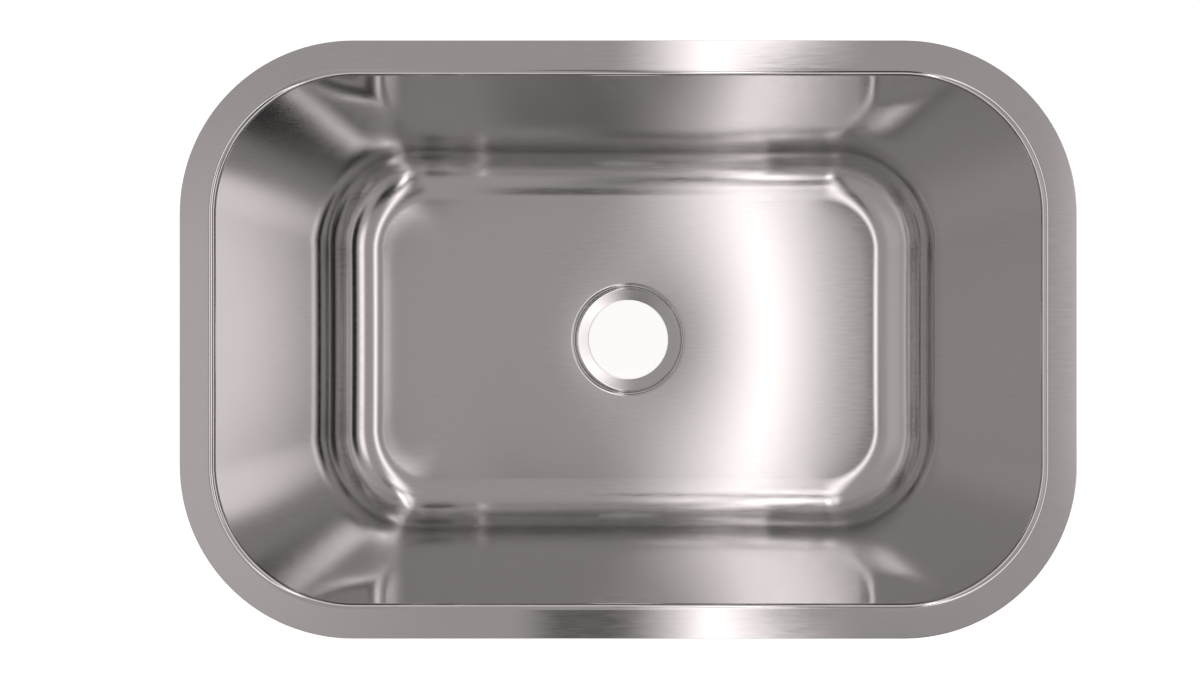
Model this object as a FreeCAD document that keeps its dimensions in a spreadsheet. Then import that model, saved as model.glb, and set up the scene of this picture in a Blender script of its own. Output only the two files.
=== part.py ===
"""Undermount kitchen sink: one drawn steel bowl, its sprayed undercoat and its rubber sound pads.

Millimetres. +X runs along the bowl, +Y to the back, +Z up. The origin is under the middle of the
drain hole, level with the lowest edge of the sheet, so the sink stands on the plane z = 0.
"""

import FreeCAD, Part
import math
import os

import Sketcher
from FreeCAD import Vector

# Driving dimensions. Lengths are in millimetres, angles in degrees, and every size of the bowl is
# that of the face one sees from above; the sheet lies outside it.
SIZES = {
    "opening_length": 635.0,  # 25 in between the end walls at the rim
    "opening_width": 406.4,  # 16 in between the long walls at the rim
    "opening_corner": 107.0,  # plan radius of the bowl's corners at the rim
    "flange_width": 25.4,  # 1 in, all round
    "bowl_depth": 228.6,  # 9 in, from the rim down to the floor at the drain
    "gauge": 1.2,  # 18 gauge sheet
    "wall_draft": 2.5,  # lean of the walls from upright
    "cove_radius": 44.45,  # 1 3/4 in, between walls and floor
    "roll_radius": 4.0,  # between flange and walls
    "floor_fall": 2.5,  # slope of the floor towards the drain
    "hole_diameter": 88.9,  # 3 1/2 in, the standard strainer hole
    "seat_diameter": 118.0,  # dish that takes a 4 1/2 in strainer flange
    "seat_depth": 7.5,  # from the floor down to the outer edge of the seat
    "seat_slope": 6.5,  # fall of the seat towards the hole
    "seat_lip": 4.0,  # radius between floor and dish wall
    "seat_root": 3.0,  # radius between dish wall and seat
    "coat_thickness": 0.8,  # sprayed undercoat
    "bare_strip": 18.0,  # left uncoated below the rim, where the clips go
    "bare_ring": 21.0,  # left uncoated round the seat, where a strainer's nut clamps
    "pad_thickness": 3.0,  # rubber sheet of all the pads
    "pad_corner": 12.0,  # corner radius of all the pads
    "wall_pad_length": 180.0,
    "wall_pad_height": 110.0,
    "wall_pad_drop": 95.0,  # from the rim down to the middle of a wall pad
    "wall_pad_gap": 24.0,  # between the two pads of a long wall
    "floor_pad_length": 190.0,
    "floor_pad_width": 250.0,
    "floor_pad_gap": 60.0,  # between the two floor pads
    "floor_pad_bite": 15.0,  # how far they stay off the bare ring
}

PARTS_FOLDER = "parts"

doc = FreeCAD.newDocument("undermount_sink")
sizes = doc.addObject("Spreadsheet::Sheet", "sizes")
for row, (alias, number) in enumerate(SIZES.items(), 1):
    sizes.set(f"A{row}", alias)
    sizes.set(f"B{row}", str(number))
    sizes.setAlias(f"B{row}", alias)
doc.recompute()

# Heights and radii that several pieces share, as expressions of the cells above.
HOLE_RADIUS = "sizes.hole_diameter / 2"
SEAT_RADIUS = "sizes.seat_diameter / 2"
HOLE_HEIGHT = "sizes.gauge / cos(sizes.seat_slope)"
SEAT_HEIGHT = f"({HOLE_HEIGHT} + ({SEAT_RADIUS} - {HOLE_RADIUS}) * tan(sizes.seat_slope))"
FLOOR_HEIGHT = f"({SEAT_HEIGHT} + sizes.seat_depth)"
RIM_HEIGHT = f"({FLOOR_HEIGHT} + sizes.bowl_depth)"
OVERALL_LENGTH = "(sizes.opening_length + 2 * sizes.flange_width)"
OVERALL_WIDTH = "(sizes.opening_width + 2 * sizes.flange_width)"
OVERALL_CORNER = "(sizes.opening_corner + sizes.flange_width)"
BARE_RADIUS = f"({SEAT_RADIUS} + sizes.bare_ring)"
COATED = "(sizes.gauge + sizes.coat_thickness)"
PADDED = f"({COATED} + sizes.pad_thickness)"
# Further out than any part of the floor, for the profiles that are turned about the drain.
REACH = "sizes.opening_length"


def value(expression):
    """The present number of an expression of the sheet."""
    result = sizes.evalExpression(expression)
    return float(getattr(result, "Value", result))


def new_body(name):
    """An empty body, labelled with its own name."""
    body = doc.addObject("PartDesign::Body", name)
    body.Label = name
    return body


def new_sketch(body, name, plane, height="0"):
    """A sketch on one of the body's own origin planes, lifted along the plane's normal."""
    sketch = body.newObject("Sketcher::SketchObject", name)
    support = [face for face in body.Origin.OriginFeatures if face.Role == plane]
    sketch.AttachmentSupport = [(support[0], "")]
    sketch.MapMode = "FlatFace"
    sketch.setExpression("AttachmentOffset.Base.z", height)
    return sketch


def bind(sketch, constraint, name, expression):
    """Adds a dimension to a sketch and ties it to the sheet."""
    index = sketch.addConstraint(constraint)
    sketch.renameConstraint(index, name)
    sketch.setExpression(f"Constraints.{name}", expression)


def add_rounded_rectangle(sketch, length, width, corner):
    """Draws a rectangle with round corners about the sketch's origin, sized by expressions."""
    half_length = value(length) / 2
    half_width = value(width) / 2
    radius = value(corner)
    inner_x = half_length - radius
    inner_y = half_width - radius
    first = sketch.GeometryCount
    sides = [
        ((-inner_x, -half_width), (inner_x, -half_width)),
        ((half_length, -inner_y), (half_length, inner_y)),
        ((inner_x, half_width), (-inner_x, half_width)),
        ((-half_length, inner_y), (-half_length, -inner_y)),
    ]
    for start, end in sides:
        sketch.addGeometry(Part.LineSegment(Vector(*start, 0), Vector(*end, 0)))
    centres = [(inner_x, -inner_y), (inner_x, inner_y), (-inner_x, inner_y), (-inner_x, -inner_y)]
    for quarter, centre in enumerate(centres):
        circle = Part.Circle(Vector(*centre, 0), Vector(0, 0, 1), radius)
        start_angle = math.radians(90 * quarter - 90)
        sketch.addGeometry(Part.ArcOfCircle(circle, start_angle, start_angle + math.pi / 2))
    bottom, right, top, left = range(first, first + 4)
    arcs = range(first + 4, first + 8)
    for side, arc, following in zip((bottom, right, top, left), arcs, (right, top, left, bottom)):
        sketch.addConstraint(Sketcher.Constraint("Tangent", side, 2, arc, 1))
        sketch.addConstraint(Sketcher.Constraint("Tangent", arc, 2, following, 1))
    sketch.addConstraint(Sketcher.Constraint("Horizontal", bottom))
    sketch.addConstraint(Sketcher.Constraint("Vertical", right))
    for arc in arcs[1:]:
        sketch.addConstraint(Sketcher.Constraint("Equal", arcs[0], arc))
    sketch.addConstraint(Sketcher.Constraint("Symmetric", bottom, 1, top, 1, -1, 1))
    bind(sketch, Sketcher.Constraint("Radius", arcs[0], radius), "corner", corner)
    bind(sketch, Sketcher.Constraint("DistanceX", left, 2, right, 1, 2 * half_length), "length", length)
    bind(sketch, Sketcher.Constraint("DistanceY", bottom, 2, top, 1, 2 * half_width), "width", width)


def add_circle(sketch, diameter):
    """Draws a circle about the sketch's origin."""
    circle = Part.Circle(Vector(0, 0, 0), Vector(0, 0, 1), value(diameter) / 2)
    index = sketch.addGeometry(circle)
    sketch.addConstraint(Sketcher.Constraint("Coincident", index, 3, -1, 1))
    bind(sketch, Sketcher.Constraint("Diameter", index, value(diameter)), "diameter", diameter)


def add_turned_profile(sketch, corners):
    """Draws a closed polygon of (radius, height) expressions, to be turned about the Z axis."""
    points = [Vector(value(radius), value(height), 0) for radius, height in corners]
    count = len(points)
    for index in range(count):
        sketch.addGeometry(Part.LineSegment(points[index], points[(index + 1) % count]))
    for index in range(count):
        sketch.addConstraint(Sketcher.Constraint("Coincident", index, 2, (index + 1) % count, 1))
    for index, (radius, height) in enumerate(corners):
        if radius == "0":
            sketch.addConstraint(Sketcher.Constraint("PointOnObject", index, 1, -2))
        else:
            across = Sketcher.Constraint("DistanceX", -1, 1, index, 1, points[index].x)
            bind(sketch, across, f"radius{index}", radius)
        upward = Sketcher.Constraint("DistanceY", -1, 1, index, 1, points[index].y)
        bind(sketch, upward, f"height{index}", height)


def add_feature(body, kind, name, sketch, **settings):
    """A sketch-based feature. A setting that is text is an expression; others are plain values."""
    feature = body.newObject(f"PartDesign::{kind}", name)
    feature.Profile = sketch
    for setting, given in settings.items():
        if isinstance(given, str):
            feature.setExpression(setting, given)
        else:
            setattr(feature, setting, given)
    doc.recompute()
    return feature


def turn(body, kind, name, corners):
    """A Revolution or a Groove of a polygon, all the way about the Z axis."""
    sketch = new_sketch(body, f"{name}_profile", "XZ_Plane")
    add_turned_profile(sketch, corners)
    return add_feature(body, kind, name, sketch, ReferenceAxis=(sketch, ["V_Axis"]), Angle=360.0)


def shared_edges(shape, face):
    """The edges where a face meets another one, which leaves out the seam of a turned face."""
    return [edge for edge in face.Edges if len(shape.ancestorsOfType(edge, Part.Face)) == 2]


def add_fillet(body, name, edges, radius):
    """Rounds the given edges of the body's latest feature."""
    base = body.Tip
    names = []
    for wanted in edges:
        for index, edge in enumerate(base.Shape.Edges, 1):
            if edge.isSame(wanted):
                names.append(f"Edge{index}")
    fillet = body.newObject("PartDesign::Fillet", name)
    fillet.Base = (base, names)
    fillet.setExpression("Radius", radius)
    doc.recompute()
    return fillet


def floor_line(radius, offset):
    """Height of the falling floor at a radius, offset outwards from the face seen from above."""
    rise = f"({radius} - {SEAT_RADIUS}) * tan(sizes.floor_fall)"
    return f"{FLOOR_HEIGHT} + {rise} - {offset} / cos(sizes.floor_fall)"


def seat_line(radius, offset):
    """Height of the seat's funnel at a radius, offset outwards in the same way."""
    rise = f"({radius} - {HOLE_RADIUS}) * tan(sizes.seat_slope)"
    return f"{HOLE_HEIGHT} + {rise} - {offset} / cos(sizes.seat_slope)"


def pressed_form(name, offset):
    """The bowl's inside volume, grown outwards by an offset: tapered walls, falling floor, cove.

    Sheet, undercoat and pads all lie between two such forms, so each has an even thickness.
    """
    body = new_body(name)
    outward = f"{offset} / cos(sizes.wall_draft)"
    outline = new_sketch(body, f"{name}_opening", "XY_Plane", RIM_HEIGHT)
    add_rounded_rectangle(
        outline,
        f"sizes.opening_length + 2 * {outward}",
        f"sizes.opening_width + 2 * {outward}",
        f"sizes.opening_corner + {outward}",
    )
    add_feature(
        body, "Pad", f"{name}_walls", outline,
        Length=RIM_HEIGHT, TaperAngle="-sizes.wall_draft", Reversed=True,
    )
    turn(body, "Groove", f"{name}_floor", [
        ("0", floor_line("0", offset)),
        (REACH, floor_line(REACH, offset)),
        (REACH, f"{floor_line(REACH, offset)} - {RIM_HEIGHT}"),
        ("0", f"{floor_line(REACH, offset)} - {RIM_HEIGHT}"),
    ])
    shape = body.Tip.Shape
    floor = min(shape.Faces, key=lambda face: face.CenterOfMass.z)
    add_fillet(body, f"{name}_cove", shared_edges(shape, floor), f"sizes.cove_radius + {offset}")
    return body


def sheet_form(name, offset):
    """A pressed form with the drain seat sunk in its floor and the flange spread round its rim."""
    body = pressed_form(name, offset)
    edge = f"{SEAT_RADIUS} + {offset}"
    covered = f"{floor_line(edge, offset)} + sizes.seat_lip"
    turn(body, "Revolution", f"{name}_seat", [
        ("0", seat_line("0", offset)),
        (edge, seat_line(edge, offset)),
        (edge, covered),
        ("0", covered),
    ])
    shape = body.Tip.Shape
    upright = [face for face in shape.Faces if isinstance(face.Surface, Part.Cylinder)]
    dish_wall = min(upright, key=lambda face: math.hypot(face.CenterOfMass.x, face.CenterOfMass.y))
    root, lip = sorted(shared_edges(shape, dish_wall), key=lambda rim: rim.CenterOfMass.z)
    lip_height = lip.CenterOfMass.z
    add_fillet(body, f"{name}_root", [root], f"sizes.seat_root + {offset}")
    shape = body.Tip.Shape
    circles = [rim for rim in shape.Edges if isinstance(rim.Curve, Part.Circle)]
    lip = min(circles, key=lambda rim: abs(rim.CenterOfMass.z - lip_height))
    add_fillet(body, f"{name}_lip", [lip], f"sizes.seat_lip - {offset}")

    outline = new_sketch(body, f"{name}_flange_outline", "XY_Plane", f"{RIM_HEIGHT} - {offset}")
    add_rounded_rectangle(outline, OVERALL_LENGTH, OVERALL_WIDTH, OVERALL_CORNER)
    add_feature(body, "Pad", f"{name}_flange", outline, Length="sizes.gauge")
    shape = body.Tip.Shape
    level = [face for face in shape.Faces if isinstance(face.Surface, Part.Plane)]
    underside = [face for face in level if face.normalAt(0, 0).z < -0.99][0]
    inner = [wire for wire in underside.Wires if not wire.isSame(underside.OuterWire)]
    add_fillet(body, f"{name}_roll", inner[0].Edges, f"sizes.roll_radius - {offset}")
    return body


def cut(name, base, tool):
    """One solid cut away from another."""
    difference = doc.addObject("Part::Cut", name)
    difference.Label = name
    difference.Base = base
    difference.Tool = tool
    doc.recompute()
    return difference


def make_bowl(outside):
    """The drawn sheet: what lies between the outside and the inside form, with the hole cut."""
    pressed = cut("pressed_sheet", outside, sheet_form("inside_form", "0"))
    punch = doc.addObject("Part::Cylinder", "drain_punch")
    punch.setExpression("Radius", HOLE_RADIUS)
    punch.setExpression("Height", f"2 * {FLOOR_HEIGHT}")
    punch.setExpression("Placement.Base.z", f"-{FLOOR_HEIGHT}")
    return cut("bowl", pressed, punch)


def make_undercoat(outside):
    """The sprayed skin, stopped below the flange and clear of the drain."""
    coated = pressed_form("coated_form", COATED)
    strip = new_sketch(coated, "bare_strip_outline", "XY_Plane", RIM_HEIGHT)
    add_rounded_rectangle(strip, OVERALL_LENGTH, OVERALL_WIDTH, OVERALL_CORNER)
    add_feature(coated, "Pocket", "bare_strip", strip, Length="sizes.bare_strip")
    ring = new_sketch(coated, "bare_ring_outline", "XY_Plane")
    add_circle(ring, f"2 * {BARE_RADIUS}")
    add_feature(coated, "Pocket", "bare_ring", ring, Length=RIM_HEIGHT, Reversed=True)
    return cut("undercoat", coated, outside)


def make_wall_pad(name, heading, half_span, along):
    """A die-cut rubber pad lying on a coated wall; heading 0 is the front wall, 90 the right."""
    pad = new_body(name)
    outline = new_sketch(pad, f"{name}_outline", "XY_Plane")
    add_rounded_rectangle(outline, "sizes.wall_pad_length", "sizes.wall_pad_height", "sizes.pad_corner")
    add_feature(pad, "Pad", f"{name}_rubber", outline, Length="sizes.pad_thickness")
    lean = "sizes.wall_pad_drop * tan(sizes.wall_draft)"
    out = f"({half_span} + {COATED} / cos(sizes.wall_draft) - {lean})"
    pad.setExpression("Placement.Base.x", f"{along} * cos({heading}) + {out} * sin({heading})")
    pad.setExpression("Placement.Base.y", f"{along} * sin({heading}) - {out} * cos({heading})")
    pad.setExpression("Placement.Base.z", f"{RIM_HEIGHT} - sizes.wall_pad_drop")
    pad.setExpression("Placement.Rotation.Yaw", f"{heading}")
    pad.setExpression("Placement.Rotation.Roll", "90 + sizes.wall_draft")
    doc.recompute()
    return pad


def make_floor_pad(name, side):
    """A rubber pad under the falling floor with a bite round the drain; side is -1 or 1."""
    pad = new_body(name)
    bite = f"({BARE_RADIUS} + sizes.floor_pad_bite)"
    turn(pad, "Revolution", f"{name}_rubber", [
        (bite, floor_line(bite, PADDED)),
        (REACH, floor_line(REACH, PADDED)),
        (REACH, floor_line(REACH, COATED)),
        (bite, floor_line(bite, COATED)),
    ])
    outline = new_sketch(pad, f"{name}_outline", "XY_Plane")
    centre = f"{side} * (sizes.floor_pad_length + sizes.floor_pad_gap) / 2"
    outline.setExpression("AttachmentOffset.Base.x", centre)
    add_rounded_rectangle(outline, "sizes.floor_pad_length", "sizes.floor_pad_width", "sizes.pad_corner")
    add_circle(outline, f"4 * {REACH}")
    add_feature(pad, "Pocket", f"{name}_trim", outline, Length=RIM_HEIGHT, Reversed=True)
    return pad


def export_piece(piece):
    """Writes one piece, once it is known to be one sound solid."""
    shape = piece.Shape
    if shape.isNull() or not shape.isValid() or len(shape.Solids) != 1:
        raise RuntimeError(f"{piece.Label} is not one valid solid")
    shape.exportStep(os.path.join(PARTS_FOLDER, f"{piece.Label}.step"))


outside_form = sheet_form("outside_form", "sizes.gauge")
pieces = [make_bowl(outside_form), make_undercoat(outside_form)]
for side_name, side in (("left", -1), ("right", 1)):
    pieces.append(make_floor_pad(f"floor_pad_{side_name}", side))
    shift = f"{side} * (sizes.wall_pad_length + sizes.wall_pad_gap) / 2"
    pieces.append(make_wall_pad(f"front_pad_{side_name}", 0, "sizes.opening_width / 2", shift))
    pieces.append(make_wall_pad(f"back_pad_{side_name}", 180, "sizes.opening_width / 2", f"-{shift}"))
    pieces.append(make_wall_pad(f"end_pad_{side_name}", 90 * side, "sizes.opening_length / 2", "0"))

broken = [made.Name for made in doc.Objects if {"Invalid", "Error"} & set(made.State)]
if broken:
    raise RuntimeError(f"these did not build: {broken}")
os.makedirs(PARTS_FOLDER, exist_ok=True)
for piece in pieces:
    export_piece(piece)
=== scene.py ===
"""Undermount kitchen sink in the studio: satin steel bowl, sprayed undercoat, rubber sound pads.

Lengths are in millimetres until a mesh is made, and angles in degrees. +X runs along the bowl, +Y
to the back and +Z up. The origin is under the middle of the drain hole, level with the table.
"""

import math

import bpy
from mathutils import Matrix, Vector, noise


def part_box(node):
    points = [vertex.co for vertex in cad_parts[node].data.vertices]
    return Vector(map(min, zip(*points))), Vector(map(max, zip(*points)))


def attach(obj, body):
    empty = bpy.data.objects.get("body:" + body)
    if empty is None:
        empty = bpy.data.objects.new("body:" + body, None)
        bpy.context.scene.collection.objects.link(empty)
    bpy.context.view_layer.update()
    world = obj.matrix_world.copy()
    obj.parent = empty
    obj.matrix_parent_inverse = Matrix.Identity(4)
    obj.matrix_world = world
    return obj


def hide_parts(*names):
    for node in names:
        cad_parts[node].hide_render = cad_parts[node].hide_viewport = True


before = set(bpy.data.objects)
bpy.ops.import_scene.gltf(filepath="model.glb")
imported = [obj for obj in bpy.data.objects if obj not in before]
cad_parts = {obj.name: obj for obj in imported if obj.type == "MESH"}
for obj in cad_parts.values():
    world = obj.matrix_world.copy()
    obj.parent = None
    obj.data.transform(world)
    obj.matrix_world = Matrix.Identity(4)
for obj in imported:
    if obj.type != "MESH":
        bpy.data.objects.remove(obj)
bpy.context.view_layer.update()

MM = 0.001

# The pressing, as the face that one sees from above.
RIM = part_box("bowl")[1].z / MM  # top of the flange
OPENING = (635.0, 406.4)  # at the top of the walls, along the sink and across it
DEPTH = 228.6  # from the rim to the drain's dish
CORNER = 107.0  # plan radius of the opening's corners
CORE_X = OPENING[0] / 2 - CORNER  # the corners' centres
CORE_Y = OPENING[1] / 2 - CORNER
GAUGE = 1.2  # 18 gauge sheet
DRAFT = math.radians(2.5)  # lean of the walls
COVE = 44.45  # radius between walls and floor
ROLL = 4.0  # radius between flange and walls
FLANGE = 25.4
FLOOR = RIM - DEPTH  # height of the floor where the drain's dish begins
FALL = math.radians(2.5)  # slope of the floor towards the drain
HOLE = 44.45  # radius of the drain hole
SEAT = 59.0  # radius of the dish round it
SEAT_SLOPE = math.radians(6.5)
SEAT_ROOT = 3.0  # radius at the foot of the dish's wall
SEAT_LIP = 4.0  # radius at its top
SHEARED = 0.25  # radius left on a sheared edge by deburring
CLOSE = 0.4  # how near a flat's last row lies to the curve it runs into

CORNER_STEPS = 32  # columns of the mesh round a corner, along a long wall and along an end wall
LONG_STEPS = 32
SHORT_STEPS = 16
FUNNEL_ROWS = 5  # rows of the mesh over each stretch of a cut, from the drain outwards
ROOT_ROWS = 8
LIP_ROWS = 10
FLOOR_ROWS = 22
COVE_ROWS = 30
WALL_ROWS = 12
ROLL_ROWS = 12
FLANGE_ROWS = 5
EDGE_ROWS = 3
COVE_TRIES = 6  # enough for the ball that shapes the cove to settle on wall and floor

# The sprayed skin on the outside, thinning out towards where it was masked.
COAT = 0.8
BARE_RING = 80.0
COAT_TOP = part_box("undercoat")[1].z / MM
FEATHER = 5.0  # width of the thinner border
BORDER = [0.0, 0.8, 1.8, 3.2, FEATHER]  # where its rows lie
COAT_ROWS = 100
RING_GAP = 2.0  # from the masked ring to the least radius that the skin starts at
NEXT_ROW = 1.0  # least distance from there to the next row
RING_WANDER = 1.2  # most that the border round the drain wanders
RING_WAVES = 6.0
TAPE_GAP = 2.5  # from the masking tape under the flange to the skin's edge, and how that wanders
TAPE_WANDER = 1.5
TAPE_WAVES = 0.03
BORDER_BUILD = 0.2  # share of the thickness at the very edge
UNEVEN = 0.12  # share of the thickness that comes and goes over the skin
BLOTCHES = 0.05

# The rubber pads stuck over it: a web with half-round ribs standing on it.
WEB = 2.2
RIB = 0.8
RIB_WIDTH = 3.2
RIB_PITCH = 7.0
RIB_MARGIN = 8.0  # left plain along a pad's edges
PAD_CORNER = 12.0
PAD_ROUNDING = 0.5  # left on its edges by the die
PAD_COLUMNS = 24
CREASE = math.radians(40)
WALL_PAD = (180.0, 110.0)
WALL_PAD_DROP = 95.0  # from the rim down to the middle of a wall pad
WALL_PAD_SHIFT = 102.0  # from the middle of a long wall to the middle of either pad
FLOOR_PAD = (190.0, 250.0)
FLOOR_PAD_MIDDLE = 125.0  # from the drain to the middle of either floor pad
FLOOR_PAD_BITE = 95.0  # radius left free round the drain

# The satin finish.
SATIN = (0.08, 0.14)  # roughness from the finest scratches to the coarsest
STRETCHED = 0.07  # roughness added where the sheet is stretched into the cove
COVE_FADE = (FLOOR + COVE + 15.0, FLOOR + COVE - 10.0)  # heights over which that fades in
FLOOR_FADE = (FLOOR + 4.0, FLOOR + 10.0)  # and out again

# The studio.
TABLE = 16.0  # in metres, so large that its edge is never seen
TABLE_GLOW = 0.62  # enough that the lit table looks plain white
CAMERA_ABOVE = 507.0  # from the rim to the lens
SENSOR = 36.0
FOCAL_LENGTH = 19.91
FRAMING = (-0.0236, 0.0017)  # the lens's shift, sideways and upwards


def steps(count, start=0.0, end=1.0):
    """Evenly spaced shares from start to end, both included."""
    return [start + (end - start) * index / count for index in range(count + 1)]


def flanked(count, length):
    """Shares of a flat, with one more close to each end so that its shading stays flat."""
    near = CLOSE / length
    return [0.0, near] + steps(count)[1:-1] + [1.0 - near, 1.0]


def stations():
    """Core point and outward direction all round the bowl, anticlockwise from the front right."""
    centres = [Vector((x * CORE_X, y * CORE_Y, 0)) for x, y in ((1, -1), (1, 1), (-1, 1), (-1, -1))]
    found = []
    for corner, centre in enumerate(centres):
        following = centres[(corner + 1) % 4]
        for share in steps(CORNER_STEPS)[:-1]:
            heading = math.radians(90 * (corner - 1 + share))
            found.append((centre, Vector((math.cos(heading), math.sin(heading), 0))))
        heading = math.radians(90 * corner)
        outward = Vector((math.cos(heading), math.sin(heading), 0))
        for share in steps(SHORT_STEPS if corner % 2 == 0 else LONG_STEPS)[:-1]:
            found.append((centre.lerp(following, share), outward))
    return found


def on_floor(point):
    """The point of the falling floor straight above or below a given one, and the normal there."""
    radius = math.hypot(point.x, point.y)
    across = Vector((point.x, point.y, 0)) / radius
    height = FLOOR + (radius - SEAT) * math.tan(FALL)
    normal = Vector((0, 0, 1)) * math.cos(FALL) - across * math.sin(FALL)
    return Vector((point.x, point.y, height)), normal


def section(core, outward):
    """One cut through the bowl's upper face, from the drain hole out to the flange's edge.

    Gives the points, the normals, and which rows the open floor starts and ends on.
    """
    up = Vector((0, 0, 1))
    wall_normal = (up * math.sin(DRAFT) - outward * math.cos(DRAFT)).normalized()

    def on_wall(height):
        return core + outward * (CORNER - (RIM - height) * math.tan(DRAFT)) + up * height

    # The cove is a ball rolled along the wall and the floor.
    ball = on_wall(FLOOR + COVE) + wall_normal * COVE
    for _ in range(COVE_TRIES):
        touch, floor_normal = on_floor(ball - on_floor(ball)[1] * COVE)
        height = touch.z + COVE * floor_normal.z
        ball = on_wall(height - COVE * math.sin(DRAFT)) + wall_normal * COVE

    across = Vector((touch.x, touch.y, 0)).normalized()
    points, normals = [], []

    def add(point, normal):
        points.append(point)
        normals.append(normal.normalized())

    # Funnel of the drain seat, its root, its wall and its lip.
    funnel_normal = up * math.cos(SEAT_SLOPE) - across * math.sin(SEAT_SLOPE)
    hole_height = GAUGE / math.cos(SEAT_SLOPE)

    def on_funnel(radius):
        return across * radius + up * (hole_height + (radius - HOLE) * math.tan(SEAT_SLOPE))

    root = on_funnel(SEAT - SEAT_ROOT) + up * (SEAT_ROOT / math.cos(SEAT_SLOPE))
    root_start = SEAT - SEAT_ROOT + SEAT_ROOT * math.sin(SEAT_SLOPE)
    funnel_start = HOLE + SHEARED
    for share in flanked(FUNNEL_ROWS, root_start - funnel_start)[:-1]:
        add(on_funnel(funnel_start + (root_start - funnel_start) * share), funnel_normal)
    for share in steps(ROOT_ROWS):
        normal = funnel_normal.slerp(-across, share)
        add(root - normal * SEAT_ROOT, normal)
    lip_touch, lip_normal = on_floor(across * (SEAT + SEAT_LIP))
    lip = lip_touch - lip_normal * SEAT_LIP
    for share in steps(LIP_ROWS):
        normal = (-across).slerp(lip_normal, share)
        add(lip + normal * SEAT_LIP, normal)
    floor_start = len(points) - 1

    # Open floor, cove, wall, roll and flange.
    for share in flanked(FLOOR_ROWS, (touch - lip_touch).length)[1:-1]:
        add(*on_floor(points[floor_start].lerp(touch, share)))
    floor_end = len(points)
    for share in steps(COVE_ROWS):
        normal = floor_normal.slerp(wall_normal, share)
        add(ball - normal * COVE, normal)
    wall_start = points[-1]
    roll = on_wall(RIM - ROLL + ROLL * math.sin(DRAFT)) - wall_normal * ROLL
    wall_end = roll + wall_normal * ROLL
    for share in flanked(WALL_ROWS, (wall_end - wall_start).length)[1:-1]:
        add(wall_start.lerp(wall_end, share), wall_normal)
    for share in steps(ROLL_ROWS):
        normal = wall_normal.slerp(up, share)
        add(roll + normal * ROLL, normal)
    flange_start = points[-1]
    flange_end = core + outward * (CORNER + FLANGE - SHEARED) + up * RIM
    for share in flanked(FLANGE_ROWS, (flange_end - flange_start).length)[1:]:
        add(flange_start.lerp(flange_end, share), up)
    return points, normals, floor_start, floor_end


def unfolded(points, outward, floor_start, floor_end):
    """Where each point of a section lay on the flat blank, before it was pressed."""
    blank = [Vector((point.x, point.y)) for point in points]
    inward = Vector((points[0].x, points[0].y)).normalized()
    for row in range(floor_start - 1, -1, -1):
        blank[row] = blank[row + 1] - inward * (points[row + 1] - points[row]).length
    for row in range(floor_end + 1, len(points)):
        blank[row] = blank[row - 1] + Vector(outward[:2]) * (points[row] - points[row - 1]).length
    return blank


def sheared_edge(face, normal, outward):
    """The rounded rim of the sheet, from its upper face round to its lower one."""
    rim = []
    for start, end, depth in ((normal, outward, SHEARED), (outward, -normal, GAUGE - SHEARED)):
        centre = face - normal * depth
        rim += [centre + start.slerp(end, share) * SHEARED for share in steps(EDGE_ROWS)]
    return rim


def make_mesh(name, columns, blanks, material):
    """A closed skin through equal columns of points, joined round and round both ways."""
    count, rows = len(columns), len(columns[0])
    vertices = [point * MM for column in columns for point in column]
    flat = [place * MM for blank in blanks for place in blank]
    faces = []
    for column in range(count):
        beside = (column + 1) % count
        for row in range(rows):
            above = (row + 1) % rows
            faces.append((column * rows + row, beside * rows + row,
                          beside * rows + above, column * rows + above))
    mesh = bpy.data.meshes.new(name)
    mesh.from_pydata(vertices, [], faces)
    layer = mesh.uv_layers.new(name="blank")
    for loop in mesh.loops:
        layer.data[loop.index].uv = flat[loop.vertex_index]
    mesh.shade_smooth()
    mesh.materials.append(material)
    piece = bpy.data.objects.new(name, mesh)
    bpy.context.scene.collection.objects.link(piece)
    return piece


def make_bowl(material):
    """The drawn sheet, upper face, edges and underside in one closed skin."""
    columns, blanks = [], []
    for core, outward in stations():
        points, normals, floor_start, floor_end = section(core, outward)
        blank = unfolded(points, outward, floor_start, floor_end)
        under = [point - normal * GAUGE for point, normal in zip(points, normals)]
        inward = Vector((-points[0].x, -points[0].y, 0)).normalized()
        outer = sheared_edge(points[-1], normals[-1], outward)
        inner = sheared_edge(points[0], normals[0], inward)
        column = points[1:-1] + outer + under[::-1][1:-1] + inner[::-1]
        columns.append(column)
        blanks.append(blank[1:-1] + [blank[-1]] * len(outer)
                      + blank[::-1][1:-1] + [blank[0]] * len(inner))
    return make_mesh("bowl_sheet", columns, blanks, material)


def resampled(points, normals, distances):
    """Points and normals of a section at given distances along it."""
    found, row, passed = [], 0, 0.0
    for distance in distances:
        span = (points[row + 1] - points[row]).length
        while distance > passed + span and row < len(points) - 2:
            passed += span
            row += 1
            span = (points[row + 1] - points[row]).length
        share = min((distance - passed) / span, 1.0)
        found.append((points[row].lerp(points[row + 1], share),
                      normals[row].lerp(normals[row + 1], share).normalized()))
    return found


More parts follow.
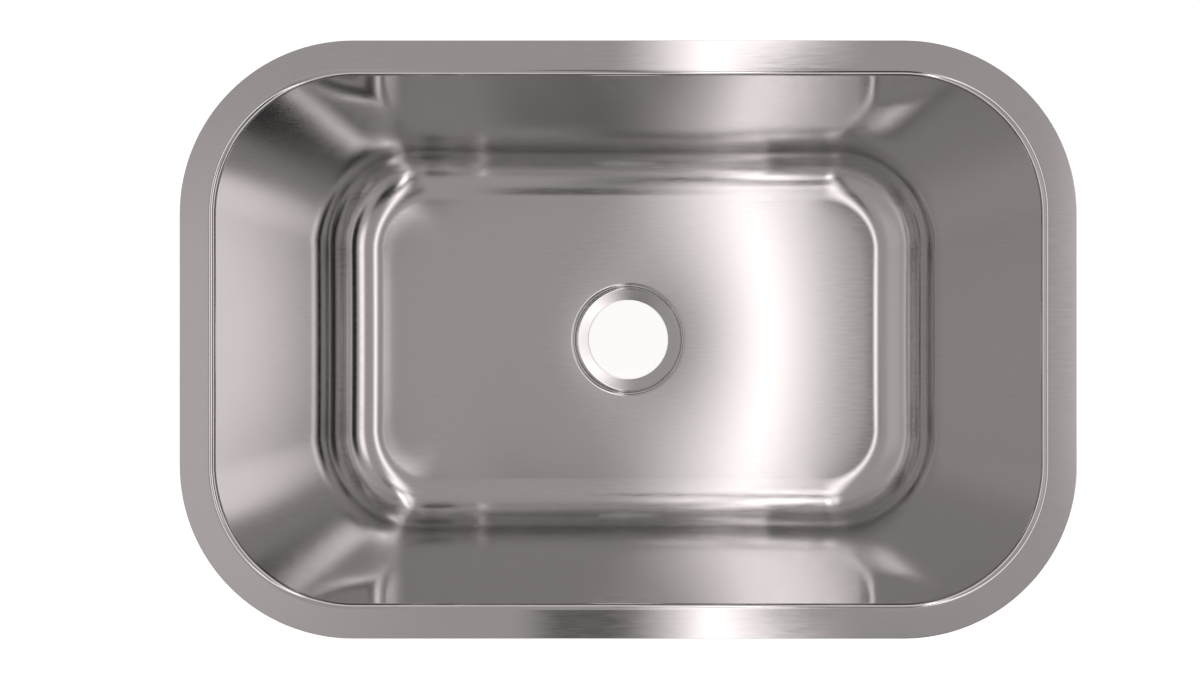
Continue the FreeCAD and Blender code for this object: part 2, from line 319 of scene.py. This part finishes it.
def make_undercoat(material):
    """The sprayed skin over the walls and floor: thinner at its masked borders, a little uneven."""
    columns, blanks = [], []
    for core, outward in stations():
        points, normals, floor_start, _ = section(core, outward)
        across = Vector((points[0].x, points[0].y, 0)).normalized()
        least = BARE_RING + RING_GAP
        first, first_normal = on_floor(across * least)
        kept = [row for row in range(floor_start, len(points))
                if points[row].xy.length > least + NEXT_ROW and points[row].z < COAT_TOP + NEXT_ROW]
        line = [first] + [points[row] for row in kept]
        line_normals = [first_normal] + [normals[row] for row in kept]
        length = sum((line[row + 1] - line[row]).length for row in range(len(line) - 1))
        # The masking tape and the ring round the drain leave a border that wanders a little.
        start = RING_WANDER * noise.noise(across * RING_WAVES) ** 2
        length -= TAPE_GAP + TAPE_WANDER * noise.noise(line[-1] * TAPE_WAVES)
        distances = [start + step for step in BORDER]
        distances += steps(COAT_ROWS, start + FEATHER, length - FEATHER)[1:-1]
        distances += [length - step for step in BORDER[::-1]]
        outer, inner = [], []
        for distance, (point, normal) in zip(distances, resampled(line, line_normals, distances)):
            edge = min(distance - start, length - distance, FEATHER) / FEATHER
            build_up = BORDER_BUILD + (1.0 - BORDER_BUILD) * edge * (2.0 - edge)
            uneven = 1.0 - UNEVEN * (1.0 + noise.noise(point * BLOTCHES))
            outer.append(point - normal * (GAUGE + COAT * build_up * uneven))
            inner.append(point - normal * GAUGE)
        columns.append(inner + outer[::-1])
        blanks.append([Vector((point.x, point.y)) for point in columns[-1]])
    return make_mesh("undercoat_skin", columns, blanks, material)


def rib_tree():
    """Geometry nodes that lay half-round ribs over a pad, clear of its edges and its bite."""
    tree = bpy.data.node_groups.new("pad_ribs", "GeometryNodeTree")
    tree.is_modifier = True
    tree.interface.new_socket("Geometry", in_out="INPUT", socket_type="NodeSocketGeometry")
    for name in ("Length", "Width", "Margin", "Pitch", "Rib Width", "Rib Height", "Web", "Bite",
                 "Middle"):
        tree.interface.new_socket(name, in_out="INPUT", socket_type="NodeSocketFloat")
    tree.interface.new_socket("Material", in_out="INPUT", socket_type="NodeSocketMaterial")
    tree.interface.new_socket("Geometry", in_out="OUTPUT", socket_type="NodeSocketGeometry")
    given = add_node(tree, "NodeGroupInput").outputs

    def maths(operation, first, second=0.0):
        return add_node(tree, "ShaderNodeMath", {0: first, 1: second},
                        operation=operation).outputs[0]

    def vector(x=0.0, y=0.0, z=0.0):
        return add_node(tree, "ShaderNodeCombineXYZ", {0: x, 1: y, 2: z}).outputs[0]

    field = maths("SUBTRACT", given["Width"], maths("MULTIPLY", given["Margin"], 2.0))
    gaps = maths("FLOOR", maths("DIVIDE", field, given["Pitch"]))
    lowest = maths("MULTIPLY", maths("MULTIPLY", gaps, given["Pitch"]), -0.5)
    rows = add_node(tree, "GeometryNodeMeshLine", {
        "Count": maths("ADD", gaps, 1.0), "Start Location": vector(0.0, lowest, given["Web"]),
        "Offset": vector(0.0, given["Pitch"]),
    })
    place = add_node(tree, "GeometryNodeInputPosition").outputs[0]
    height = add_node(tree, "ShaderNodeSeparateXYZ", {0: place}).outputs[1]
    # A row starts at the pad's near edge or at the bite, whichever is further out.
    half = maths("SUBTRACT", maths("DIVIDE", given["Length"], 2.0), given["Margin"])
    chord = maths("SUBTRACT", maths("MULTIPLY", given["Bite"], given["Bite"]),
                  maths("MULTIPLY", height, height))
    reach = maths("SQRT", maths("MAXIMUM", chord, 0.0))
    from_bite = maths("SUBTRACT", maths("ADD", reach, given["Margin"]), given["Middle"])
    near = maths("MAXIMUM", maths("MULTIPLY", half, -1.0), from_bite)
    centre = maths("MULTIPLY", maths("ADD", near, half), 0.5)
    moved = add_node(tree, "GeometryNodeSetPosition", {
        "Geometry": rows.outputs[0], "Offset": vector(centre)
    })
    # A bar one unit long and wide, which the scale makes a rib, half of it sunk in the web.
    bar = add_node(tree, "GeometryNodeMeshCylinder", {"Vertices": 12, "Radius": 0.5, "Depth": 1.0})
    laid = add_node(tree, "GeometryNodeTransform", {
        "Geometry": bar.outputs[0], "Rotation": (0.0, math.pi / 2, 0.0)
    })
    ribs = add_node(tree, "GeometryNodeInstanceOnPoints", {
        "Points": moved.outputs[0], "Instance": laid.outputs[0],
        "Scale": vector(maths("SUBTRACT", half, near), given["Rib Width"],
                        maths("MULTIPLY", given["Rib Height"], 2.0)),
    })
    real = add_node(tree, "GeometryNodeRealizeInstances", {0: ribs.outputs[0]})
    both = add_node(tree, "GeometryNodeJoinGeometry")
    tree.links.new(real.outputs[0], both.inputs[0])
    tree.links.new(given["Geometry"], both.inputs[0])
    rubber = add_node(tree, "GeometryNodeSetMaterial", {
        "Geometry": both.outputs[0], "Material": given["Material"]
    })
    add_node(tree, "NodeGroupOutput", {0: rubber.outputs[0]})
    return tree


def make_pad(name, tree, size, bite, middle, place, material):
    """A die-cut pad, drawn flat in millimetres, ribs up, then laid on the bowl by place()."""
    length, width = size
    half = width / 2
    # Rows lie closer towards the long edges, so that bite and corners come out round.
    lines = sorted({sign * half * math.sin(math.radians(angle))
                    for sign in (-1, 1) for angle in range(0, 91, 3)}
                   | {sign * (half - PAD_CORNER * (1 - math.sin(math.radians(angle))))
                      for sign in (-1, 1) for angle in range(0, 90, 10)})
    vertices = []
    for y in lines:
        over = max(abs(y) - (half - PAD_CORNER), 0.0)
        edge = length / 2 - PAD_CORNER + math.sqrt(max(PAD_CORNER ** 2 - over ** 2, 0.0))
        near = max(-edge, math.sqrt(max(bite ** 2 - y ** 2, 0.0)) - middle)
        vertices += [(near + (edge - near) * share, y, 0.0) for share in steps(PAD_COLUMNS)]
    stride = PAD_COLUMNS + 1
    faces = [(row * stride + column, row * stride + column + 1,
              (row + 1) * stride + column + 1, (row + 1) * stride + column)
             for row in range(len(lines) - 1) for column in range(PAD_COLUMNS)]
    mesh = bpy.data.meshes.new(name)
    mesh.from_pydata(vertices, [], faces)
    pad = bpy.data.objects.new(name, mesh)
    bpy.context.scene.collection.objects.link(pad)
    web = pad.modifiers.new("web", "SOLIDIFY")
    web.thickness = WEB
    web.offset = 1.0
    rounding = pad.modifiers.new("rounding", "BEVEL")
    rounding.width = PAD_ROUNDING
    rounding.segments = 2
    rounding.limit_method = "ANGLE"
    ribs = pad.modifiers.new("ribs", "NODES")
    ribs.node_group = tree
    values = {
        "Length": length, "Width": width, "Margin": RIB_MARGIN, "Pitch": RIB_PITCH,
        "Rib Width": RIB_WIDTH, "Rib Height": RIB, "Web": WEB, "Bite": bite, "Middle": middle,
        "Material": material,
    }
    for socket in tree.interface.items_tree:
        if socket.in_out == "INPUT" and socket.name in values:
            ribs[socket.identifier] = values[socket.name]
    ready = pad.evaluated_get(bpy.context.evaluated_depsgraph_get())
    finished = bpy.data.meshes.new_from_object(ready)
    pad.modifiers.clear()
    for vertex in finished.vertices:
        vertex.co = place(vertex.co) * MM
    finished.shade_smooth()
    finished.set_sharp_from_angle(angle=CREASE)
    finished.name = name
    pad.data = finished
    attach(pad, "root")
    return pad


def make_pads(material):
    """Two ribbed pads under the floor, two on each long wall and one on each end wall."""
    tree = rib_tree()

    def on_wall(heading, half_span, shift):
        turned = math.radians(heading)
        along = Vector((math.cos(turned), math.sin(turned), 0))
        outward = Vector((math.sin(turned), -math.cos(turned), 0))
        up = Vector((0, 0, math.cos(DRAFT))) + outward * math.sin(DRAFT)
        out = outward * math.cos(DRAFT) - Vector((0, 0, math.sin(DRAFT)))
        reach = half_span + (GAUGE + COAT) / math.cos(DRAFT) - WALL_PAD_DROP * math.tan(DRAFT)
        middle = along * shift + outward * reach + Vector((0, 0, RIM - WALL_PAD_DROP))
        return lambda spot: middle + along * spot.x + up * spot.y + out * spot.z

    def under_floor(side):
        def place(spot):
            flat = Vector((side * (FLOOR_PAD_MIDDLE + spot.x), -side * spot.y, 0))
            point, normal = on_floor(flat)
            return point - normal * (GAUGE + COAT + spot.z)
        return place

    walls = [
        ("front", 0, CORE_Y + CORNER, {"left": -WALL_PAD_SHIFT, "right": WALL_PAD_SHIFT}),
        ("back", 180, CORE_Y + CORNER, {"left": WALL_PAD_SHIFT, "right": -WALL_PAD_SHIFT}),
        ("end", -90, CORE_X + CORNER, {"left": 0.0}),
        ("end", 90, CORE_X + CORNER, {"right": 0.0}),
    ]
    for wall, heading, half_span, shifts in walls:
        for side, shift in shifts.items():
            # No bite: a circle of no radius, a pad's length away from the middle.
            pad = make_pad(f"{wall}_pad_{side}_ribbed", tree, WALL_PAD, 0.0, WALL_PAD[0],
                           on_wall(heading, half_span, shift), material)
            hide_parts(f"{wall}_pad_{side}")
    for side, sign in (("left", -1), ("right", 1)):
        pad = make_pad(f"floor_pad_{side}_ribbed", tree, FLOOR_PAD, FLOOR_PAD_BITE,
                       FLOOR_PAD_MIDDLE, under_floor(sign), material)
        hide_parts(f"floor_pad_{side}")


def linear(code):
    """An sRGB hex colour as the linear RGBA that a shader takes."""
    shares = [int(code[place:place + 2], 16) / 255 for place in (1, 3, 5)]
    return [s / 12.92 if s <= 0.04045 else ((s + 0.055) / 1.055) ** 2.4 for s in shares] + [1.0]


def add_node(tree, kind, inputs=(), **settings):
    """Adds a node; inputs maps a socket's name or place to a constant or to another socket."""
    node = tree.nodes.new(kind)
    for name, setting in settings.items():
        setattr(node, name, setting)
    for key, given in dict(inputs).items():
        if isinstance(given, bpy.types.NodeSocket):
            tree.links.new(given, node.inputs[key])
        else:
            node.inputs[key].default_value = given
    return node


def new_material(name):
    """An empty material and its node tree."""
    material = bpy.data.materials.new(name)
    material.use_nodes = True
    material.node_tree.nodes.clear()
    return material, material.node_tree


def satin_steel():
    """Stainless steel, brushed along the blank with fine grit before pressing.

    The scratches all run along the sink, so a reflection stays crisp along them and smears across.
    """
    material, tree = new_material("stainless_steel_brushed_satin")
    blank = add_node(tree, "ShaderNodeUVMap", uv_map="blank").outputs[0]
    along = add_node(tree, "ShaderNodeTangent", direction_type="UV_MAP", uv_map="blank").outputs[0]
    # Single scratches are 0.1 mm wide; what shows is their bundles, some 2 mm wide and 20 mm long.
    stretch = add_node(tree, "ShaderNodeMapping", {"Vector": blank, "Scale": (50.0, 500.0, 1.0)})
    grain = add_node(tree, "ShaderNodeTexNoise", {
        "Vector": stretch.outputs[0], "Scale": 1.0, "Detail": 4.0
    })
    shade = add_node(tree, "ShaderNodeMix", {
        0: grain.outputs[0], 6: linear("#C7C6C6"), 7: linear("#CFCECE")
    }, data_type="RGBA")
    streaks = add_node(tree, "ShaderNodeMapRange", {
        "Value": grain.outputs[0], "From Min": 0.35, "From Max": 0.65,
        "To Min": SATIN[0], "To Max": SATIN[1],
    })
    # The sheet is stretched most where it bends into the cove, which opens its grain.
    place = add_node(tree, "ShaderNodeTexCoord").outputs["Object"]
    height = add_node(tree, "ShaderNodeSeparateXYZ", {0: place}).outputs[2]
    in_cove = add_node(tree, "ShaderNodeMapRange", {
        "Value": height, "From Min": COVE_FADE[0] * MM, "From Max": COVE_FADE[1] * MM
    }, interpolation_type="SMOOTHSTEP")
    off_floor = add_node(tree, "ShaderNodeMapRange", {
        "Value": height, "From Min": FLOOR_FADE[0] * MM, "From Max": FLOOR_FADE[1] * MM
    }, interpolation_type="SMOOTHSTEP")
    bend = add_node(tree, "ShaderNodeMath", {
        0: in_cove.outputs[0], 1: off_floor.outputs[0]
    }, operation="MULTIPLY")
    rough = add_node(tree, "ShaderNodeMath", {
        0: bend.outputs[0], 1: STRETCHED, 2: streaks.outputs[0]
    }, operation="MULTIPLY_ADD")
    bump = add_node(tree, "ShaderNodeBump", {"Height": grain.outputs[0], "Distance": 0.00001})
    shader = add_node(tree, "ShaderNodeBsdfPrincipled", {
        "Base Color": shade.outputs[2], "Metallic": 1.0, "Roughness": rough.outputs[0],
        "Anisotropic": 0.85, "Anisotropic Rotation": 0.25, "Tangent": along,
        "Normal": bump.outputs[0],
    })
    add_node(tree, "ShaderNodeOutputMaterial", {"Surface": shader.outputs[0]})
    return material


def sprayed_skin():
    """Acrylic undercoat, sprayed: dead matt, with the pebbled face that spray leaves."""
    material, tree = new_material("undercoat_acrylic_sprayed")
    place = add_node(tree, "ShaderNodeTexCoord").outputs["Object"]
    # Droplets dry 1 to 2 mm across; passes of the gun overlap every 7 cm or so.
    pebbles = add_node(tree, "ShaderNodeTexNoise", {"Vector": place, "Scale": 700.0, "Detail": 3.0})
    passes = add_node(tree, "ShaderNodeTexNoise", {"Vector": place, "Scale": 14.0, "Detail": 2.0})
    mixed = add_node(tree, "ShaderNodeMath", {
        0: pebbles.outputs[0], 1: passes.outputs[0]
    }, operation="MULTIPLY")
    tone = add_node(tree, "ShaderNodeMapRange", {
        "Value": mixed.outputs[0], "From Min": 0.12, "From Max": 0.4
    })
    shade = add_node(tree, "ShaderNodeMix", {
        0: tone.outputs[0], 6: linear("#A2A4A4"), 7: linear("#B6B8B8")
    }, data_type="RGBA")
    bump = add_node(tree, "ShaderNodeBump", {
        "Height": pebbles.outputs[0], "Strength": 0.7, "Distance": 0.0006
    })
    shader = add_node(tree, "ShaderNodeBsdfPrincipled", {
        "Base Color": shade.outputs[2], "Roughness": 0.86, "Normal": bump.outputs[0]
    })
    add_node(tree, "ShaderNodeOutputMaterial", {"Surface": shader.outputs[0]})
    return material


def moulded_rubber():
    """Butyl rubber sheet, moulded with ribs and die-cut: near black, matt, faintly dusty."""
    material, tree = new_material("pad_butyl_rubber_moulded")
    place = add_node(tree, "ShaderNodeTexCoord").outputs["Object"]
    # The mould was sand-blasted with 0.5 mm grit; the dust lies in patches of a few centimetres.
    skin = add_node(tree, "ShaderNodeTexNoise", {"Vector": place, "Scale": 1500.0, "Detail": 2.0})
    dust = add_node(tree, "ShaderNodeTexNoise", {"Vector": place, "Scale": 30.0, "Detail": 4.0})
    tone = add_node(tree, "ShaderNodeMapRange", {
        "Value": dust.outputs[0], "From Min": 0.35, "From Max": 0.75
    })
    shade = add_node(tree, "ShaderNodeMix", {
        0: tone.outputs[0], 6: linear("#38383A"), 7: linear("#4A4A4B")
    }, data_type="RGBA")
    rough = add_node(tree, "ShaderNodeMapRange", {
        "Value": dust.outputs[0], "To Min": 0.55, "To Max": 0.75
    })
    bump = add_node(tree, "ShaderNodeBump", {
        "Height": skin.outputs[0], "Strength": 0.5, "Distance": 0.0002
    })
    shader = add_node(tree, "ShaderNodeBsdfPrincipled", {
        "Base Color": shade.outputs[2], "Roughness": rough.outputs[0], "Normal": bump.outputs[0]
    })
    add_node(tree, "ShaderNodeOutputMaterial", {"Surface": shader.outputs[0]})
    return material


def studio_floor():
    """A matt white table that reads as plain white to the eye and keeps the sink's soft shadow."""
    material, tree = new_material("table_white_matt")
    rays = add_node(tree, "ShaderNodeLightPath").outputs
    seen = add_node(tree, "ShaderNodeMath", {
        0: rays["Is Camera Ray"], 1: rays["Is Glossy Ray"]
    }, operation="MAXIMUM")
    glow = add_node(tree, "ShaderNodeMath", {
        0: seen.outputs[0], 1: TABLE_GLOW
    }, operation="MULTIPLY")
    shader = add_node(tree, "ShaderNodeBsdfPrincipled", {
        "Base Color": linear("#E6E6E4"), "Roughness": 0.9, "Emission Color": (1, 1, 1, 1),
        "Emission Strength": glow.outputs[0],
    })
    add_node(tree, "ShaderNodeOutputMaterial", {"Surface": shader.outputs[0]})
    bpy.ops.mesh.primitive_plane_add(size=TABLE)
    table = bpy.context.object
    table.name = "studio_table"
    table.data.materials.append(material)


# Softboxes and black flags hung round the sink: where the middle of each is, in degrees to the
# right of straight up and in degrees to the back, how wide it is both ways, how soft its edge is,
# and its strength, which is negative for a flag that shades the light behind it.
SOFTBOXES = [
    (7.0, 8.0, 5.5, 107.0, 6.0, 1.85),  # the long strip that lights the floor and both flanges
    (13.0, 29.0, 7.0, 7.0, 4.0, 2.4),  # two heads beside it, back and front
    (12.0, -28.0, 9.5, 1.0, 3.5, 4.0),
    (16.5, 58.5, 6.5, 23.0, 2.0, 3.5),  # far back and far front
    (15.5, -60.0, 7.5, 24.0, 4.0, 3.5),
    (42.0, 3.5, 11.5, 34.0, 4.5, 1.3),  # right
    (-40.0, -5.0, 35.0, 40.0, 9.0, 0.16),  # left
    (19.0, -43.0, 40.0, 25.0, 6.5, -0.53),  # flags: a broad one in front
    (62.0, -9.0, 3.5, 72.0, 7.5, -2.9),  # a narrow one on the right
    (15.0, 39.0, 29.0, 3.5, 2.5, -2.8),  # a narrow one behind
    (-1.0, -18.5, 13.5, 18.5, 2.0, -0.32),  # a small one over the front of the sink
]
AMBIENT = 0.48  # the room overhead
LOW_LIGHT = (68.0, 10.0, 0.5)  # its pale walls: degrees from straight up, softness and strength
LAMP_COLOUR = "#FFF8F7"


def studio_light():
    """Light from all round with softboxes in it; the camera itself sees a plain white backdrop."""
    world = bpy.data.worlds.new("studio")
    world.use_nodes = True
    bpy.context.scene.world = world
    tree = world.node_tree
    tree.nodes.clear()

    def maths(operation, first, second=0.0):
        return add_node(tree, "ShaderNodeMath", {0: first, 1: second},
                        operation=operation).outputs[0]

    direction = add_node(tree, "ShaderNodeTexCoord").outputs["Generated"]
    parts = add_node(tree, "ShaderNodeSeparateXYZ", {0: direction}).outputs
    sideways = maths("MULTIPLY", maths("ARCTAN2", parts[0], parts[2]), 180 / math.pi)
    backwards = maths("MULTIPLY", maths("ARCTAN2", parts[1], parts[2]), 180 / math.pi)
    light = AMBIENT
    for right, back, width, length, soft, strength in SOFTBOXES:
        inside = strength
        for angle, centre, size in ((sideways, right, width), (backwards, back, length)):
            away = maths("ABSOLUTE", maths("SUBTRACT", angle, centre))
            window = add_node(tree, "ShaderNodeMapRange", {
                "Value": away, "From Min": size / 2 - soft, "From Max": size / 2 + soft,
                "To Min": 1.0, "To Max": 0.0,
            }, interpolation_type="SMOOTHSTEP")
            inside = maths("MULTIPLY", window.outputs[0], inside)
        light = maths("ADD", inside, light)
    angle, soft, strength = LOW_LIGHT
    low = add_node(tree, "ShaderNodeMapRange", {
        "Value": maths("MULTIPLY", maths("ARCCOSINE", parts[2]), 180 / math.pi),
        "From Min": angle - soft, "From Max": angle + soft,
    }, interpolation_type="SMOOTHSTEP")
    light = maths("MAXIMUM", maths("ADD", maths("MULTIPLY", low.outputs[0], strength), light), 0.0)
    camera_ray = add_node(tree, "ShaderNodeLightPath").outputs["Is Camera Ray"]
    seen = add_node(tree, "ShaderNodeMix", {0: camera_ray, 2: light, 3: 1.0}, data_type="FLOAT")
    colour = add_node(tree, "ShaderNodeMix", {
        0: camera_ray, 6: linear(LAMP_COLOUR), 7: linear("#FFFFFF")
    }, data_type="RGBA")
    shader = add_node(tree, "ShaderNodeBackground", {
        "Color": colour.outputs[2], "Strength": seen.outputs[0]
    })
    add_node(tree, "ShaderNodeOutputWorld", {0: shader.outputs[0]})


def place_camera():
    """Straight above the drain, framed as the photograph is."""
    camera = bpy.data.cameras.new("camera")
    camera.sensor_width = SENSOR
    camera.lens = FOCAL_LENGTH
    camera.shift_x, camera.shift_y = FRAMING
    eye = bpy.data.objects.new("camera", camera)
    eye.location = (0, 0, (RIM + CAMERA_ABOVE) * MM)
    bpy.context.scene.collection.objects.link(eye)
    bpy.context.scene.camera = eye


bpy.context.scene.view_settings.view_transform = "Standard"
place_camera()
steel = satin_steel()
bowl = make_bowl(steel)
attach(bowl, "root")
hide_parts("bowl")
undercoat = make_undercoat(sprayed_skin())
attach(undercoat, "root")
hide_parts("undercoat")
make_pads(moulded_rubber())
studio_floor()
studio_light()
